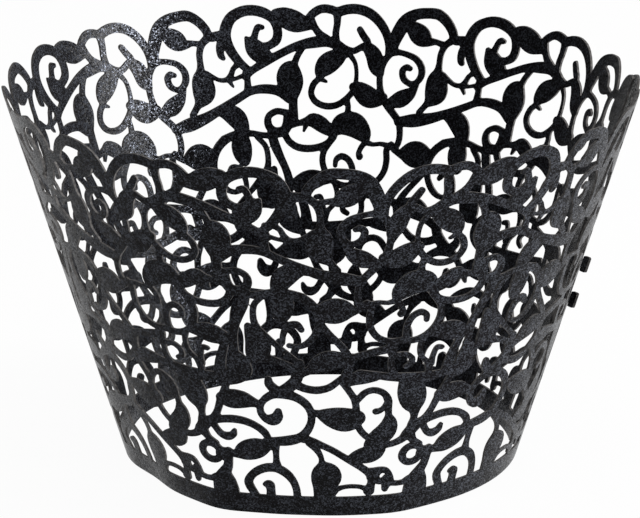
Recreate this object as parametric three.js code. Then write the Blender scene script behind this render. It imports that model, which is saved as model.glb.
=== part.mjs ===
// Filigree cupcake wrapper: one sheet of black pearl card, laser-cut with a scroll motif, rolled into a
// cone that is open at both ends and held by two tabs. Millimetres, +Z up, origin at the base centre.
import * as THREE from 'three';

// Driving sizes of the rolled wrapper
const mouthDiameter = 83;
const baseDiameter = 52.6;
const height = 51;
const cardThickness = 0.3;
const repeats = 7;
const baseBand = 3;

// The closure: end strips that overlap, and tabs of the inner end that come out through slits
const seamAngle = 0;
const stripWidth = 4.2;
const layerGap = 0.4;
const tabHeights = [21, 26];
const tabHeight = 2.2;
const tabLength = 2.6;
const tabHeadLength = 0.9;
const tabNeckHeight = 1.0;
const tabProud = 1.3;
const slitClearance = 0.3;
const slitWidth = 1.5;

// How fine the cut outline is traced
const columnsPerRepeat = 88;
const rowStep = 0.3;
const outlineError = 0.38;
const longestEdge = 7;
const smallestHole = 2;
const strokeSteps = 5;
const edgeSteps = 3;
const fieldReach = 2.6;
const crossingEnd = 0.02;
const baseSnap = 1e-4;

// The blank that the motif is drawn on: the distance from the cone's apex to its lower edge, and the
// flat angle of one repeat
const drawnApex = 91.8;
const drawnRepeat = THREE.MathUtils.degToRad(14.72);

// The motif of one repeat as brush strokes, seen from inside: [right, up the slant, brush width]
const motif = {
  roundArch: [[-1.6, 43.9, 1.0], [-3.0, 45.2, 1.3], [-4.3, 47.2, 1.5], [-4.8, 49.2, 1.7], [-4.0, 51.2, 1.6],
    [-2.4, 52.2, 1.5], [-0.6, 52.4, 1.5], [1.2, 51.9, 1.5], [2.4, 50.9, 1.3], [2.95, 49.4, 1.3],
    [2.7, 48.0, 1.3], [1.7, 47.3, 1.1], [0.9, 47.2, 1.0]],
  roundArchLeaf: [[1.6, 45.4, 1.2], [0.5, 46.0, 2.6], [-0.4, 46.8, 2.8], [-1.2, 47.8, 1.5],
    [-1.7, 48.5, 0.5]],
  rimLeaf: [[2.8, 51.8, 1.2], [4.0, 51.2, 2.7], [5.4, 50.5, 3.1], [6.8, 50.0, 2.0], [7.9, 49.9, 1.4]],
  smallArch: [[7.4, 50.6, 1.2], [8.3, 51.5, 1.2], [9.4, 52.0, 1.2], [10.6, 51.9, 1.2], [11.6, 51.3, 1.2],
    [11.6, 49.8, 1.0], [11.3, 48.5, 1.0], [11.3, 47.3, 1.0]],
  smallArchLeft: [[7.9, 50.4, 1.2], [8.4, 49.3, 1.0], [9.0, 48.4, 1.1], [10.0, 47.6, 1.2]],
  caneArch: [[11.8, 51.4, 1.4], [13.2, 51.7, 1.4], [14.8, 51.6, 1.4], [16.4, 50.9, 1.4], [17.7, 49.6, 1.3],
    [18.6, 47.9, 1.2], [18.9, 46.2, 1.1], [18.7, 44.6, 1.0]],
  caneVineLeaf: [[11.3, 46.9, 1.3], [12.5, 46.1, 1.0], [13.7, 45.7, 0.9], [15.0, 46.2, 1.0],
    [16.0, 46.0, 1.6],
    [16.9, 44.8, 2.2], [17.2, 43.3, 2.2], [17.4, 42.2, 1.2]],
  upperVine: [[-2.2, 43.0, 1.0], [-1.0, 43.9, 1.0], [1.0, 45.0, 1.2], [3.2, 46.0, 1.1], [5.5, 46.9, 1.2],
    [8.0, 47.3, 1.6], [10.0, 47.3, 1.5], [11.4, 46.7, 1.4]],
  branchLeaf: [[6.3, 46.6, 0.9], [5.5, 45.4, 0.9], [5.0, 44.3, 1.2], [4.3, 43.2, 3.2], [4.3, 42.0, 3.8],
    [4.6, 40.8, 2.4], [4.6, 39.6, 1.3], [4.5, 38.2, 1.3], [4.5, 36.8, 1.3]],
  longVine: [[-13.3, 36.0, 1.3], [-11.0, 36.6, 1.9], [-8.5, 37.4, 1.5], [-6.0, 38.6, 1.2], [-3.5, 39.9, 1.1],
    [-1.5, 40.9, 1.1], [0.5, 41.1, 1.3], [2.5, 40.7, 1.4], [4.0, 39.6, 1.5]],
  stemLeaf: [[-7.3, 48.9, 1.2], [-8.4, 47.9, 1.0], [-8.85, 46.5, 0.9], [-8.8, 45.0, 0.9], [-8.8, 43.9, 1.4],
    [-8.7, 42.6, 3.0], [-8.5, 41.2, 3.4], [-8.9, 40.2, 2.2], [-9.6, 39.2, 1.0], [-10.5, 37.9, 0.9]],
  bowlBottom: [[-7.9, 43.7, 0.8], [-6.2, 42.75, 0.6], [-5.0, 42.7, 0.7], [-4.3, 43.3, 0.8], [-3.9, 44.2, 0.7],
    [-3.2, 44.8, 0.8]],
  shortPost: [[-2.0, 43.6, 1.1], [-1.9, 42.4, 0.9], [-1.9, 41.2, 1.1]],
  biteArch: [[-16.2, 45.6, 1.4], [-16.1, 47.0, 1.7], [-15.7, 48.6, 2.0], [-15.0, 50.3, 1.9],
    [-13.7, 51.4, 1.6],
    [-12.0, 51.9, 1.5], [-10.3, 52.0, 1.5], [-8.8, 51.2, 1.4], [-7.7, 50.0, 1.3], [-7.1, 48.9, 1.3],
    [-5.9, 49.0, 1.3]],
  biteLeaf: [[-14.6, 49.9, 1.2], [-13.5, 49.3, 2.2], [-12.4, 48.6, 2.9], [-11.2, 48.0, 1.5],
    [-9.9, 48.1, 0.8],
    [-8.7, 47.9, 0.9]],
  upperScroll: [[-16.0, 45.6, 1.2], [-15.0, 45.7, 0.8], [-13.8, 45.6, 0.8], [-12.4, 45.2, 0.9],
    [-11.4, 44.2, 1.0], [-11.2, 43.0, 1.0], [-11.7, 42.0, 0.9], [-12.6, 41.6, 0.8], [-13.7, 42.1, 0.8],
    [-14.1, 43.2, 0.8], [-13.6, 43.9, 0.7], [-12.95, 43.8, 0.5]],
  upperScrollLeaf: [[-11.7, 42.0, 0.9], [-11.9, 40.9, 1.0], [-12.6, 40.0, 1.9], [-13.6, 39.2, 2.4],
    [-14.7, 38.6, 1.6], [-15.5, 38.1, 1.0]],
  upperScrollSide: [[-16.0, 46.0, 1.3], [-16.9, 44.2, 0.9], [-17.25, 42.3, 0.9], [-17.0, 40.5, 0.9],
    [-16.3, 39.0, 1.0], [-15.3, 37.9, 1.1], [-14.2, 36.9, 1.0], [-13.3, 36.0, 1.0], [-12.9, 35.0, 0.9],
    [-12.7, 33.8, 0.9], [-12.8, 32.8, 0.9], [-13.2, 32.0, 0.9]],
  ovalCurl: [[12.7, 45.4, 1.0], [12.0, 45.4, 1.3], [10.8, 45.1, 2.0], [9.6, 44.4, 2.6], [8.9, 43.4, 1.7],
    [8.5, 42.2, 0.9], [7.6, 41.3, 0.9], [7.2, 40.0, 0.9], [7.8, 38.8, 0.9], [9.2, 38.1, 0.9],
    [10.9, 38.2, 0.9], [12.5, 39.2, 0.9], [13.5, 40.6, 0.7], [13.9, 42.3, 0.6], [13.8, 44.0, 0.6],
    [13.0, 45.4, 0.8]],
  ovalPost: [[12.3, 38.8, 0.8], [12.4, 37.8, 0.8], [12.2, 36.6, 0.9]],
  sideLeaf: [[13.3, 40.6, 1.2], [14.3, 40.0, 2.4], [15.4, 39.0, 3.0], [16.7, 38.5, 1.9], [17.6, 38.8, 1.2]],
  hangingLeaf: [[-6.6, 38.2, 0.9], [-5.3, 38.1, 2.2], [-4.0, 37.3, 2.9], [-3.3, 36.2, 2.4],
    [-3.1, 35.0, 1.9]],
  innerLeaf: [[-3.2, 35.0, 1.2], [-3.4, 33.5, 2.8], [-3.3, 32.3, 2.8], [-3.1, 31.2, 1.8], [-2.9, 30.6, 0.5]],
  circleHook: [[4.2, 37.2, 1.0], [3.2, 37.6, 0.9], [2.0, 37.8, 0.9], [0.9, 37.2, 0.9], [0.6, 36.2, 0.9],
    [1.0, 35.2, 0.9], [1.8, 34.6, 1.0], [3.0, 34.9, 1.0], [3.6, 35.9, 1.2], [3.6, 37.0, 1.2]],
  crossLine: [[-6.0, 34.4, 0.8], [-4.0, 34.9, 1.0], [-2.0, 34.9, 0.9], [0.0, 34.5, 0.8], [1.2, 34.4, 1.0]],
  waveLeaves: [[3.5, 35.7, 1.2], [5.0, 35.9, 0.8], [6.3, 36.1, 1.2], [7.3, 36.2, 2.0], [8.3, 35.6, 2.2],
    [9.3, 34.8, 1.8], [10.3, 34.6, 1.6], [11.5, 35.3, 2.8], [13.0, 35.0, 3.2], [14.2, 33.8, 2.2],
    [14.6, 32.8, 1.0], [13.9, 31.9, 0.8], [13.5, 31.1, 0.8], [13.6, 30.6, 1.0]],
  smileArc: [[3.0, 34.6, 1.0], [3.6, 33.4, 1.0], [4.8, 32.5, 1.0], [6.5, 32.2, 1.0], [8.2, 32.4, 1.0],
    [9.4, 33.0, 1.0], [10.0, 33.8, 1.2]],
  leftRing: [[-4.0, 34.8, 0.9], [-5.6, 34.4, 0.9], [-7.0, 33.3, 0.9], [-7.7, 31.8, 0.9], [-7.7, 30.2, 0.9],
    [-7.2, 28.6, 0.9], [-6.2, 27.3, 0.9], [-5.0, 26.7, 0.7], [-3.8, 26.9, 0.7]],
  leftRingRight: [[-1.0, 34.3, 0.8], [0.1, 33.0, 0.8], [0.4, 31.4, 0.8], [0.2, 29.8, 0.9], [-1.0, 28.2, 0.9],
    [-2.5, 26.6, 0.7], [-3.7, 25.5, 0.6], [-4.8, 24.3, 0.7]],
  roundLeaf: [[-13.0, 31.9, 0.9], [-12.3, 31.5, 0.8], [-11.2, 31.7, 2.0], [-9.8, 31.7, 3.4],
    [-8.4, 31.7, 2.2],
    [-7.6, 31.9, 1.0]],
  sideVine: [[-7.8, 30.2, 1.0], [-8.7, 28.7, 0.9], [-9.8, 27.1, 0.9], [-10.7, 25.6, 1.0], [-11.2, 24.0, 1.2]],
  rightRing: [[9.5, 33.1, 1.0], [8.5, 31.7, 0.9], [8.2, 30.2, 0.9], [8.6, 28.6, 0.9], [9.6, 27.3, 0.9],
    [11.0, 26.6, 0.9], [12.6, 26.6, 0.9], [14.2, 26.4, 0.9], [15.8, 26.9, 0.9], [17.0, 28.2, 0.9],
    [17.5, 29.8, 0.9], [17.6, 31.3, 0.9], [18.3, 32.0, 0.9]],
  mainVine: [[1.2, 34.3, 1.3], [1.6, 32.8, 1.4], [2.2, 31.2, 1.2], [2.8, 29.7, 1.1], [3.2, 28.2, 1.2],
    [3.2, 26.8, 1.0], [3.2, 25.2, 1.0], [3.6, 23.4, 1.2], [4.2, 21.6, 1.0], [4.8, 20.0, 0.9],
    [5.2, 18.8, 1.0], [5.8, 17.2, 1.0], [6.3, 15.6, 0.9], [7.0, 14.2, 1.2], [8.0, 13.4, 1.6],
    [8.8, 12.3, 1.6], [9.5, 11.3, 1.1], [10.7, 10.6, 0.9], [12.0, 10.3, 0.9], [13.2, 10.2, 1.4]],
  vineLeaf: [[1.2, 29.6, 0.9], [0.6, 28.4, 2.2], [0.1, 27.0, 3.2], [0.3, 25.6, 3.0], [1.0, 24.6, 1.2]],
  vineLeafLow: [[3.3, 25.4, 1.0], [2.6, 24.0, 2.2], [2.5, 22.6, 2.6], [3.2, 21.4, 1.8], [4.2, 20.6, 1.0]],
  vineLeafRight: [[3.6, 27.0, 1.0], [4.8, 27.4, 2.2], [6.3, 27.7, 2.9], [7.8, 27.8, 2.0], [9.0, 27.6, 1.1]],
  vineFork: [[4.4, 26.6, 1.0], [4.9, 25.0, 1.2], [5.3, 23.3, 1.4], [5.4, 21.8, 1.6]],
  lowBand: [[4.6, 21.4, 1.0], [6.4, 21.1, 1.2], [8.2, 20.8, 1.6], [10.5, 20.9, 1.4], [13.0, 21.0, 1.2],
    [15.0, 21.2, 1.1], [17.0, 21.2, 1.4]],
  starLeft: [[9.8, 27.0, 0.8], [10.0, 25.6, 0.7], [9.6, 24.2, 0.7], [8.6, 23.2, 0.7], [8.0, 22.0, 1.0]],
  curlSide: [[13.4, 24.6, 0.9], [13.4, 23.2, 0.8], [13.0, 22.0, 0.9], [12.4, 21.2, 1.0]],
  smallLeaf: [[-10.4, 20.6, 1.0], [-11.6, 21.2, 1.9], [-12.8, 21.2, 1.9], [-14.2, 20.9, 1.0]],
  middleLeaf: [[-11.2, 24.2, 1.2], [-10.2, 24.3, 2.0], [-8.6, 24.4, 3.0], [-7.3, 23.9, 2.4],
    [-6.2, 23.1, 1.2],
    [-5.0, 22.6, 1.2]],
  leftLink: [[-11.0, 24.3, 1.2], [-12.5, 24.7, 1.0], [-14.2, 24.9, 1.1], [-16.0, 25.0, 1.2]],
  middleStem: [[-11.2, 24.2, 1.2], [-10.8, 22.6, 1.2], [-10.4, 21.4, 1.2]],
  ringTail: [[-4.9, 24.2, 1.2], [-4.6, 22.8, 1.6], [-4.3, 21.6, 1.5], [-3.4, 20.5, 1.6], [-2.4, 19.7, 1.6]],
  lowArc: [[-10.2, 21.6, 1.0], [-9.4, 21.0, 0.9], [-8.3, 20.2, 1.0], [-6.8, 19.9, 1.1], [-5.4, 20.2, 1.1],
    [-4.3, 20.8, 1.2]],
  ringScroll: [[-1.7, 16.6, 0.9], [-1.5, 15.7, 1.5], [-0.9, 15.2, 1.7], [0.0, 15.4, 1.1], [0.55, 16.3, 0.9],
    [0.5, 17.4, 0.9], [-0.1, 18.4, 1.0], [-1.2, 19.2, 1.2], [-2.5, 19.4, 1.5], [-4.0, 18.9, 1.2],
    [-5.2, 17.9, 1.1], [-5.8, 16.6, 1.0], [-5.8, 15.1, 1.0], [-5.2, 13.6, 1.1], [-4.2, 12.5, 1.3],
    [-2.8, 12.0, 1.5], [-1.2, 11.8, 1.3], [0.2, 11.8, 0.9]],
  budLeaf: [[-5.9, 16.4, 1.0], [-6.8, 16.2, 1.1], [-7.8, 15.8, 2.2], [-9.0, 15.3, 3.3], [-10.2, 14.9, 3.6],
    [-11.4, 15.0, 2.4]],
  ovalRight: [[-10.1, 20.9, 1.0], [-10.7, 19.6, 0.9], [-11.3, 18.2, 0.9], [-11.5, 16.8, 0.9],
    [-11.5, 15.0, 0.9], [-11.6, 13.6, 0.9], [-12.2, 12.3, 0.9], [-13.2, 11.2, 0.9], [-14.4, 10.5, 0.9]],
  diagonal: [[-12.3, 3.0, 1.4], [-12.7, 4.4, 0.9], [-12.5, 5.8, 1.0], [-11.6, 7.0, 1.0], [-10.6, 8.0, 1.0],
    [-9.4, 9.1, 0.9], [-8.2, 10.2, 0.9], [-6.9, 11.1, 0.95], [-5.6, 11.9, 1.1], [-4.5, 12.3, 1.2]],
  leftLeaf: [[-10.2, 8.6, 0.9], [-11.1, 9.0, 1.5], [-12.3, 8.9, 2.6], [-13.3, 9.0, 2.3], [-14.1, 9.4, 1.4]],
  budPost: [[-6.7, 2.6, 2.8], [-6.7, 4.4, 2.8], [-7.1, 6.1, 3.9], [-6.9, 7.2, 2.4], [-6.7, 8.3, 0.9],
    [-6.6, 9.4, 0.7], [-6.1, 10.6, 0.9], [-5.3, 11.6, 1.0]],
  lowArch: [[-3.2, 2.8, 1.0], [-3.15, 4.2, 0.95], [-2.8, 5.5, 1.0], [-2.1, 6.6, 1.2], [-1.0, 7.4, 1.3],
    [0.2, 7.5, 1.3], [1.4, 7.0, 1.2], [2.4, 6.1, 1.1], [2.95, 5.0, 1.1], [2.75, 4.0, 1.1], [2.2, 2.9, 1.0]],
  lowCurl: [[0.2, 2.8, 1.2], [0.15, 4.0, 1.1], [0.3, 4.7, 1.3], [0.75, 4.75, 0.8]],
  middlePost: [[-0.95, 11.6, 1.2], [-0.95, 10.0, 0.8], [-0.9, 8.8, 0.8], [-0.9, 7.8, 1.2]],
  darkLeaf: [[-0.6, 11.6, 1.2], [0.6, 10.9, 2.1], [1.7, 10.4, 3.1], [2.8, 9.9, 2.9], [3.9, 9.3, 1.5],
    [5.1, 9.1, 0.9]],
  rightPost: [[5.3, 9.4, 1.2], [5.35, 8.2, 1.1], [5.5, 7.0, 1.2], [6.0, 5.8, 1.7], [6.1, 4.4, 3.0],
    [6.0, 3.2, 3.4]],
  waveCurl: [[7.1, 13.5, 1.0], [6.6, 12.7, 0.9], [6.0, 12.0, 1.0], [5.2, 11.8, 1.2], [4.5, 12.2, 1.0],
    [4.25, 12.9, 0.6]],
  waveArch: [[-0.2, 12.0, 0.8], [0.3, 13.1, 1.0], [1.3, 14.0, 1.0], [2.7, 14.6, 1.1], [4.3, 14.7, 1.15],
    [5.8, 14.4, 1.1], [7.0, 14.0, 1.2]],
  knobLeaf: [[0.7, 17.5, 1.0], [1.7, 17.8, 1.6], [2.9, 18.0, 2.6], [4.2, 17.9, 2.9], [5.3, 17.8, 2.0]],
  eyeletStem: [[8.6, 12.0, 1.4], [7.9, 11.0, 1.0], [7.0, 10.3, 1.1]],
  eyeletLeft: [[5.3, 9.2, 1.2], [6.3, 9.2, 1.2], [6.4, 8.4, 0.9], [5.6, 8.3, 1.0]],
  rightLeaf: [[8.6, 13.4, 1.2], [8.55, 14.8, 0.9], [8.8, 16.2, 1.8], [9.2, 17.4, 3.4], [9.7, 18.7, 3.7],
    [10.3, 20.0, 2.8]],
  ovalArch: [[12.0, 14.9, 0.8], [12.3, 16.2, 0.9], [12.6, 17.5, 1.0], [13.4, 18.5, 0.9], [14.7, 18.9, 0.9],
    [15.8, 18.4, 0.9], [16.5, 17.2, 0.9]],
  ovalLeaf: [[12.0, 15.0, 0.9], [11.7, 13.8, 2.0], [11.9, 12.6, 2.7], [12.6, 11.5, 2.8], [13.2, 10.4, 2.2]],
  smallEye: [[9.6, 4.4, 0.9], [10.0, 5.6, 0.8], [10.7, 6.4, 0.9], [11.6, 6.3, 1.0], [11.9, 5.4, 1.2],
    [11.4, 4.7, 1.0], [10.6, 4.7, 1.0]],
  eyeLink: [[11.6, 6.3, 1.2], [12.4, 6.2, 1.0], [13.2, 6.2, 0.9]],
  wedgeTop: [[7.2, 4.8, 1.2], [8.0, 4.4, 0.8], [9.0, 4.3, 0.8], [9.9, 4.5, 1.0]],
  wedgeRight: [[12.0, 5.3, 1.4], [12.5, 5.1, 0.8]],
};
const eyelet = { x: 7.65, y: 8.85, radius: 1.3, width: 1.0 };

// Cone sizes that follow from the driving ones
const baseRadius = baseDiameter / 2;
const flare = mouthDiameter / 2 - baseRadius;
const slant = Math.hypot(flare, height);
const leanSine = flare / slant;
const leanCosine = height / slant;
const apexToBase = baseRadius / leanSine;
const turn = 2 * Math.PI;
const repeatAngle = turn / repeats;
const middleRadius = baseRadius + flare / 2;
const stripAngle = stripWidth / middleRadius;
const tabAngle = tabLength / middleRadius;
const sheetEnd = turn + stripAngle;
const layerStep = cardThickness / leanCosine + layerGap;
const tabHeadAngle = tabHeadLength / middleRadius;
const slitMiddle = turn - (slitWidth / 2 + slitClearance) / middleRadius;

// Every brush stroke as short pieces with a width at each end, in the motif's own flat frame
function strokePieces() {
  const lines = Object.values(motif).map((points) => {
    const curve = new THREE.CatmullRomCurve3(points.map((p) => new THREE.Vector3(...p)), false, 'catmullrom');
    return curve.getPoints((points.length - 1) * strokeSteps);
  });
  const ring = new THREE.EllipseCurve(eyelet.x, eyelet.y, eyelet.radius, eyelet.radius);
  lines.push(ring.getPoints(6 * strokeSteps).map((p) => new THREE.Vector3(p.x, p.y, eyelet.width)));
  return lines.flatMap((line) => line.slice(1).map((to, i) => ({ from: line[i], to })));
}

// The motif's top as it is drawn, which lands on the mouth of the cone
const strokes = strokePieces();
const drawnTop = ({ to }) => Math.hypot(to.x, to.y + drawnApex) - drawnApex + to.z / 2;
const drawnSlant = Math.max(...strokes.map(drawnTop));

function distanceToPiece(x, y, { from, to }) {
  const dx = to.x - from.x;
  const dy = to.y - from.y;
  const share = Math.min(Math.max(((x - from.x) * dx + (y - from.y) * dy) / (dx * dx + dy * dy), 0), 1);
  const away = Math.hypot(x - from.x - dx * share, y - from.y - dy * share);
  return away - (from.z + (to.z - from.z) * share) / 2;
}

// Depth of card at a point of the sheet, positive inside the card: angle round the cone, height up the slant
const firstColumn = -Math.ceil(tabAngle / (repeatAngle / columnsPerRepeat)) - edgeSteps;
const columns = Math.ceil(sheetEnd / (repeatAngle / columnsPerRepeat)) - firstColumn + edgeSteps;
const rows = Math.ceil(slant / rowStep) + 2 * edgeSteps;
const angleOf = (column) => (column + firstColumn) * repeatAngle / columnsPerRepeat;
const slantOf = (row) => (row - 1.5) * rowStep;

// The motif's distance field over one repeat; the neighbours' strokes reach in from both sides
function motifField() {
  const field = Array.from({ length: rows }, () => new Float64Array(columnsPerRepeat).fill(fieldReach));
  const step = drawnRepeat / columnsPerRepeat;
  for (const piece of strokes) {
    const rho = Math.hypot(piece.from.x, piece.from.y + drawnApex);
    const phi = -Math.atan2(piece.from.x, piece.from.y + drawnApex);
    const firstRow = Math.floor((rho - drawnApex - fieldReach) * slant / drawnSlant / rowStep + 1.5);
    const lastRow = Math.ceil((rho - drawnApex + fieldReach) * slant / drawnSlant / rowStep + 1.5);
    const middle = phi / step + columnsPerRepeat / 2;
    const halfSpan = fieldReach / rho / step;
    for (let row = Math.max(firstRow, 0); row <= Math.min(lastRow, rows - 1); row += 1) {
      const drawnRho = drawnApex + slantOf(row) * drawnSlant / slant;
      for (let column = Math.floor(middle - halfSpan); column <= middle + halfSpan; column += 1) {
        const drawnPhi = (column - columnsPerRepeat / 2) * step;
        const x = -drawnRho * Math.sin(drawnPhi);
        const y = drawnRho * Math.cos(drawnPhi) - drawnApex;
        const cell = ((column % columnsPerRepeat) + columnsPerRepeat) % columnsPerRepeat;
        field[row][cell] = Math.min(field[row][cell], distanceToPiece(x, y, piece));
      }
    }
  }
  return field;
}

function boxDepth(arc, up, halfArc, halfUp) {
  return Math.min(halfArc - Math.abs(arc), halfUp - Math.abs(up));
}

function cardDepth(field, column, row) {
  const angle = angleOf(column);
  const up = slantOf(row);
  const radius = baseRadius + up * leanSine;
  const middle = columnsPerRepeat / 2;
  const cell = (((column + firstColumn + middle) % columnsPerRepeat) + columnsPerRepeat) % columnsPerRepeat;
  const scallop = scallopDepth(field, cell, row);
  const strip = Math.max(stripAngle - angle, angle - turn) * radius;
  let depth = Math.max(-field[row][cell], baseBand - up, Math.min(strip, scallop));
  depth = Math.min(depth, angle * radius, (sheetEnd - angle) * radius);
  for (const centre of tabHeights) {
    const tabUp = up - centre / leanCosine;
    const slit = boxDepth((angle - slitMiddle) * radius, tabUp, slitWidth / 2, tabHeight / 2 + slitClearance);
    const neck = boxDepth((angle - stripAngle / 4 + tabAngle / 2) * radius, tabUp,
      (tabAngle / 2 + stripAngle / 4) * radius, tabNeckHeight / 2);
    const head = boxDepth((angle + tabAngle - tabHeadAngle / 2) * radius, tabUp,
      (tabHeadAngle / 2) * radius, tabHeight / 2);
    depth = Math.min(Math.max(depth, neck, head), -slit);
  }
  return Math.min(depth, up);
}

// Below the motif's top outline at this angle, so that the plain strips end in the same scallops
function scallopDepth(field, cell, row) {
  let top = rows - 1;
  while (top > 0 && field[top][cell] > 0) top -= 1;
  const share = field[top][cell] / (field[top][cell] - field[top + 1][cell]);
  return (top + share - row) * rowStep;
}

// Marching squares: closed outlines of the sheet in grid units, with the card on the left
function outlines(depth) {
  const next = new Map();
  const points = new Map();
  const key = (a, b) => `${a[0]},${a[1]},${b[0]},${b[1]}`;
  const crossing = (a, b) => {
    const [p, q] = a[0] < b[0] || (a[0] === b[0] && a[1] < b[1]) ? [a, b] : [b, a];
    const id = key(p, q);
    if (!points.has(id)) {
      const dp = depth[p[1]][p[0]];
      const dq = depth[q[1]][q[0]];
      const share = THREE.MathUtils.clamp(dp / (dp - dq), crossingEnd, 1 - crossingEnd);
      points.set(id, new THREE.Vector2(p[0] + (q[0] - p[0]) * share, p[1] + (q[1] - p[1]) * share));
    }
    return id;
  };
  for (let row = 0; row + 1 < rows; row += 1) {
    for (let column = 0; column + 1 < columns; column += 1) {
      const corners = [[column, row], [column + 1, row], [column + 1, row + 1], [column, row + 1]];
      const inside = corners.map(([c, r]) => depth[r][c] > 0);
      const leaving = [];
      const entering = [];
      for (let i = 0; i < 4; i += 1) {
        const j = (i + 1) % 4;
        if (inside[i] && !inside[j]) leaving.push([i, crossing(corners[i], corners[j])]);
        if (!inside[i] && inside[j]) entering.push([i, crossing(corners[i], corners[j])]);
      }
      for (const [side, id] of leaving) {
        const gap = (e) => (e[0] - side + 4) % 4;
        const nearest = entering.reduce((best, e) => (gap(e) < gap(best) ? e : best));
        next.set(id, nearest[1]);
      }
    }
  }
  const loops = [];
  while (next.size) {
    const start = next.keys().next().value;
    const loop = [];
    let id = start;
    do {
      loop.push(points.get(id));
      const following = next.get(id);
      next.delete(id);
      id = following;
    } while (id !== start);
    loops.push(loop);
  }
  return loops;
}

// Grid units to the flat sheet, where distances are true; the outside then runs counterclockwise
function flatten(loop) {
  return loop.map((p) => {
    const rho = apexToBase + slantOf(p.y);
    const phi = angleOf(p.x) * leanSine;
    return new THREE.Vector2(rho * Math.cos(phi), rho * Math.sin(phi));
  }).reverse();
}

// Keeps the points that the outline needs to stay within outlineError of itself, and more on a long run
// so that its straight edges follow the cone
function keepNeeded(points, first, last, keep) {
  const a = points[first];
  const b = points[last % points.length];
  const length = a.distanceTo(b);
  let worst = outlineError;
  let split = length > longestEdge ? Math.floor((first + last) / 2) : first;
  for (let i = first + 1; i < last; i += 1) {
    const p = points[i];
    const cross = (b.x - a.x) * (p.y - a.y) - (b.y - a.y) * (p.x - a.x);
    const away = length > 0 ? Math.abs(cross) / length : p.distanceTo(a);
    if (away > worst) {
      worst = away;
      split = i;
    }
  }
  if (split === first) return;
  keep.add(split);
  keepNeeded(points, first, split, keep);
  keepNeeded(points, split, last, keep);
}

function simplified(loop) {
  const reach = (i) => loop[i].distanceTo(loop[0]);
  const farthest = loop.reduce((best, _, i) => (reach(i) > reach(best) ? i : best), 0);
  const keep = new Set([0, farthest]);
  keepNeeded(loop, 0, farthest, keep);
  keepNeeded(loop, farthest, loop.length, keep);
  return [...keep].sort((i, j) => i - j).map((i) => loop[i]);
}

// Turns the diagonals of a triangulation until it is a constrained Delaunay one: compact triangles
// lie closer to the cone than long slivers do
function relaxed(points, triangles) {
  const owner = new Map();
  const edge = (a, b) => Math.min(a, b) * points.length + Math.max(a, b);
  const enter = (t) => triangles[t].forEach((a, i) => {
    const id = edge(a, triangles[t][(i + 1) % 3]);
    if (!owner.has(id)) owner.set(id, new Set());
    owner.get(id).add(t);
  });
  const leave = (t) => triangles[t].forEach((a, i) => {
    owner.get(edge(a, triangles[t][(i + 1) % 3])).delete(t);
  });
  triangles.forEach((_, t) => enter(t));
  const angleAt = (p, a, b) => {
    const u = points[a].clone().sub(points[p]);
    const v = points[b].clone().sub(points[p]);
    return Math.abs(Math.atan2(u.cross(v), u.dot(v)));
  };
  const side = (a, b, c) => points[b].clone().sub(points[a]).cross(points[c].clone().sub(points[a]));
  const queue = [...owner.keys()];
  while (queue.length) {
    const id = queue.pop();
    const pair = [...(owner.get(id) ?? [])];
    if (pair.length !== 2) continue;
    const a = Math.floor(id / points.length);
    const b = id % points.length;
    const [c, d] = pair.map((t) => triangles[t].find((v) => v !== a && v !== b));
    if (angleAt(c, a, b) + angleAt(d, a, b) <= Math.PI + 1e-6) continue;
    if (side(c, d, a) * side(c, d, b) >= 0) continue;
    pair.forEach(leave);
    triangles[pair[0]] = side(c, d, a) > 0 ? [c, d, a] : [d, c, a];
    triangles[pair[1]] = side(c, d, b) > 0 ? [c, d, b] : [d, c, b];
    pair.forEach(enter);
    [[a, c], [a, d], [b, c], [b, d]].forEach(([p, q]) => queue.push(edge(p, q)));
  }
  return triangles;
}

// How far a point of the sheet lies outside the middle cone: the sheet winds outwards by one layer a
// turn, and the tabs lean out through their slits, tips included
function layerOffset(angle) {
  const wound = (angle / turn - 0.5) * layerStep;
  const outAtTip = layerStep + tabProud;
  return angle < 0 ? wound + outAtTip * Math.min(-angle / tabAngle, 1.2) : wound;
}

function rolled(point, side) {
  const up = point.length() - apexToBase;
  const angle = Math.atan2(point.y, point.x) / leanSine;
  const z = Math.abs(up) < baseSnap ? 0 : up * leanCosine;
  const skin = (side * cardThickness) / 2 / leanCosine;
  const radius = baseRadius + (z * flare) / height + layerOffset(angle) + skin;
  const around = angle + THREE.MathUtils.degToRad(seamAngle);
  return [radius * Math.cos(around), radius * Math.sin(around), z];
}

function wrapperGeometry() {
  const field = motifField();
  const depth = Array.from({ length: rows }, (_, row) =>
    Float64Array.from({ length: columns }, (__, column) => cardDepth(field, column, row)));
  const loops = outlines(depth).map(flatten).map(simplified).filter((loop) => loop.length > 2);
  const area = (loop) => THREE.ShapeUtils.area(loop);
  const outside = loops.reduce((best, loop) => (area(loop) > area(best) ? loop : best));
  const holes = loops.filter((loop) => area(loop) < -smallestHole);
  const points = [outside, ...holes].flat();
  const cutUp = THREE.ShapeUtils.triangulateShape(outside.slice(), holes.map((hole) => hole.slice()));
  const faces = relaxed(points, cutUp);
  const count = points.length;
  const index = [];
  for (const [a, b, c] of faces) {
    index.push(a, b, c, a + count, c + count, b + count);
  }
  let start = 0;
  for (const loop of [outside, ...holes]) {
    loop.forEach((_, i) => {
      const a = start + i;
      const b = start + ((i + 1) % loop.length);
      index.push(b, a, b + count, b + count, a, a + count);
    });
    start += loop.length;
  }
  const positions = [-1, 1].flatMap((side) => points.flatMap((p) => rolled(p, side)));
  const geometry = new THREE.BufferGeometry();
  geometry.setAttribute('position', new THREE.Float32BufferAttribute(positions, 3));
  geometry.setIndex(index);
  geometry.computeVertexNormals();
  return geometry;
}

const pearlCard = new THREE.MeshStandardMaterial({ color: 0x2b2a2c, roughness: 0.55, metalness: 0.1 });
const wrapper = new THREE.Mesh(wrapperGeometry(), pearlCard);
wrapper.name = 'filigree_wrapper';

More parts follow.
